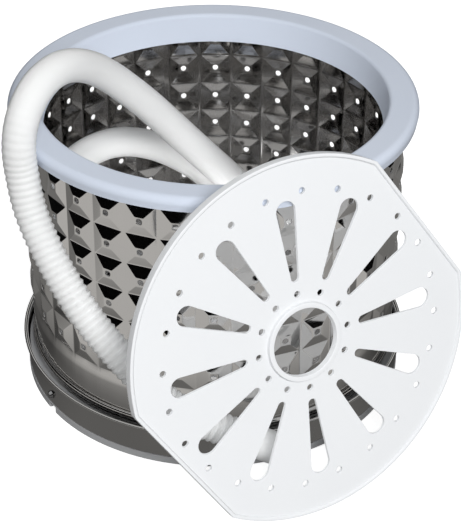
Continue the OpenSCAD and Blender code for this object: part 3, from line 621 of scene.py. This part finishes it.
def stageMaterial():
    material = bpy.data.materials.new("paleFloor")
    tree = emptyTree(material)
    out = tree.nodes.new("ShaderNodeOutputMaterial")
    diffuse = tree.nodes.new("ShaderNodeBsdfDiffuse")
    glow, paintedMirrorFloor = tree.nodes.new("ShaderNodeEmission"), tree.nodes.new("ShaderNodeEmission")
    path = tree.nodes.new("ShaderNodeLightPath")
    level = tree.nodes.new("ShaderNodeMath")
    level.operation = "MULTIPLY"
    level.inputs[1].default_value = stageSet["floorGlow"]
    both = tree.nodes.new("ShaderNodeAddShader")
    either = tree.nodes.new("ShaderNodeMixShader")
    spot = tree.nodes.new("ShaderNodeTexCoord")
    far = tree.nodes.new("ShaderNodeVectorMath")
    far.operation = "LENGTH"
    ramp = tree.nodes.new("ShaderNodeValToRGB")
    tree.links.new(spot.outputs["Object"], far.inputs[0])
    tree.links.new(far.outputs["Value"], ramp.inputs["Fac"])
    # Painted shade: the grey that metal mirrors of the floor is darker near the middle, around the object
    stops = stageSet["mirroredFloorPaintedShade"]
    while len(ramp.color_ramp.elements) < len(stops):
        ramp.color_ramp.elements.new(1.0)
    for element, (at, grey) in zip(ramp.color_ramp.elements, stops):
        element.position = at
        element.color = (*(grey * share for share in stageSet["seenTint"]), 1)
    tree.links.new(ramp.outputs["Color"], paintedMirrorFloor.inputs["Color"])
    split = tree.nodes.new("ShaderNodeSeparateXYZ")
    # Painted shadow: the floor that metal mirrors is darker behind the object
    behind = tree.nodes.new("ShaderNodeMapRange")
    behind.inputs["From Min"].default_value = stageSet["behindFrom"]
    behind.inputs["From Max"].default_value = stageSet["behindTo"]
    behind.inputs["To Min"].default_value = 1.0
    behind.inputs["To Max"].default_value = stageSet["mirroredPaintedShadowBehind"]
    tree.links.new(spot.outputs["Object"], split.inputs[0])
    tree.links.new(split.outputs["Y"], behind.inputs["Value"])
    tree.links.new(behind.outputs["Result"], paintedMirrorFloor.inputs["Strength"])
    tree.links.new(path.outputs["Is Camera Ray"], level.inputs[0])
    tint = tree.nodes.new("ShaderNodeMapRange")
    tint.inputs["To Min"].default_value = stageSet["floorBounce"]
    tint.inputs["To Max"].default_value = stageSet["floorColour"]
    tree.links.new(path.outputs["Is Camera Ray"], tint.inputs["Value"])
    tree.links.new(tint.outputs["Result"], diffuse.inputs["Color"])
    tree.links.new(level.outputs[0], glow.inputs["Strength"])
    tree.links.new(diffuse.outputs[0], both.inputs[0])
    tree.links.new(glow.outputs[0], both.inputs[1])
    tree.links.new(path.outputs["Is Glossy Ray"], either.inputs[0])
    tree.links.new(both.outputs[0], either.inputs[1])
    tree.links.new(paintedMirrorFloor.outputs[0], either.inputs[2])
    tree.links.new(either.outputs[0], out.inputs["Surface"])
    return material


reach = stageSet["floorReach"]
corners = [(-reach, -reach, 0), (reach, -reach, 0), (reach, reach, 0), (-reach, reach, 0)]
floor = meshObject("floor", corners, [(0, 1, 2, 3)], False)
floor.data.materials.append(stageMaterial())

cardMaterial = bpy.data.materials.new("darkCard")
cardMaterial.use_nodes = True
cardShader = cardMaterial.node_tree.nodes["Principled BSDF"]
cardShader.inputs["Base Color"].default_value = stageSet["cardColour"]
cardShader.inputs["Roughness"].default_value = 1.0
cardShader.inputs["Specular IOR Level"].default_value = 0.0
ringPoints, ringFaces = [], []
sides = stageSet["cardSides"]
for i in range(sides):
    angle = i * math.pi / (sides / 2)
    for z in stageSet["cardHeights"]:
        ringPoints.append((stageSet["cardRing"] * math.cos(angle), stageSet["cardRing"] * math.sin(angle), z))
    ringFaces.append((2 * i, (2 * i + 2) % (2 * sides), (2 * i + 3) % (2 * sides), 2 * i + 1))
cards = meshObject("darkCards", ringPoints, ringFaces, False)
cards.data.materials.append(cardMaterial)
cards.visible_camera = False
cards.visible_diffuse = False
cards.visible_shadow = False
cards.visible_transmission = False

# The world is white where camera and reflections look, and dimmer as a light
world = bpy.data.worlds.new("studio")
scene.world = world
tree = emptyTree(world)
out = tree.nodes.new("ShaderNodeOutputWorld")
back = tree.nodes.new("ShaderNodeBackground")
path = tree.nodes.new("ShaderNodeLightPath")
either = tree.nodes.new("ShaderNodeMath")
either.operation = "MAXIMUM"
strength = tree.nodes.new("ShaderNodeMapRange")
strength.inputs["To Min"].default_value = stageSet["ambient"]
strength.inputs["To Max"].default_value = 1.0
tree.links.new(path.outputs["Is Camera Ray"], either.inputs[0])
tree.links.new(path.outputs["Is Glossy Ray"], either.inputs[1])
tree.links.new(either.outputs[0], strength.inputs["Value"])
tree.links.new(strength.outputs["Result"], back.inputs["Strength"])
tree.links.new(back.outputs[0], out.inputs["Surface"])


# The two bounce lamps are the light that bright steel throws on the hose and on the plate's back
lampSet = {
    "keyLamp": {"place": (0.45, -2.1, 1.63), "aim": (0, 0, 0.1), "size": 1.05, "power": 58},
    "drumBounce": {"place": (0.02, 0.01, 0.03), "aim": (-0.05, 0.02, 0.3), "size": 0.12, "power": 0.35},
    "plateBounce": {"place": (0.0537, -0.1474, 0.1179), "aim": (0.5267, -0.9974, 0.3479), "size": 0.21,
        "power": 0.07}}


def softLamp(name, place, aim, size, power):
    lamp = bpy.data.objects.new(name, bpy.data.lights.new(name, "AREA"))
    lamp.data.shape = "DISK"
    lamp.data.size = size
    lamp.data.energy = power
    lamp.visible_camera = False
    lamp.visible_glossy = False
    lamp.location = place
    lamp.rotation_euler = (Vector(aim) - Vector(place)).to_track_quat("-Z", "Y").to_euler()
    scene.collection.objects.link(lamp)


for name, values in lampSet.items():
    softLamp(name, **values)
scene.view_settings.view_transform = "Standard"
print("stage made")
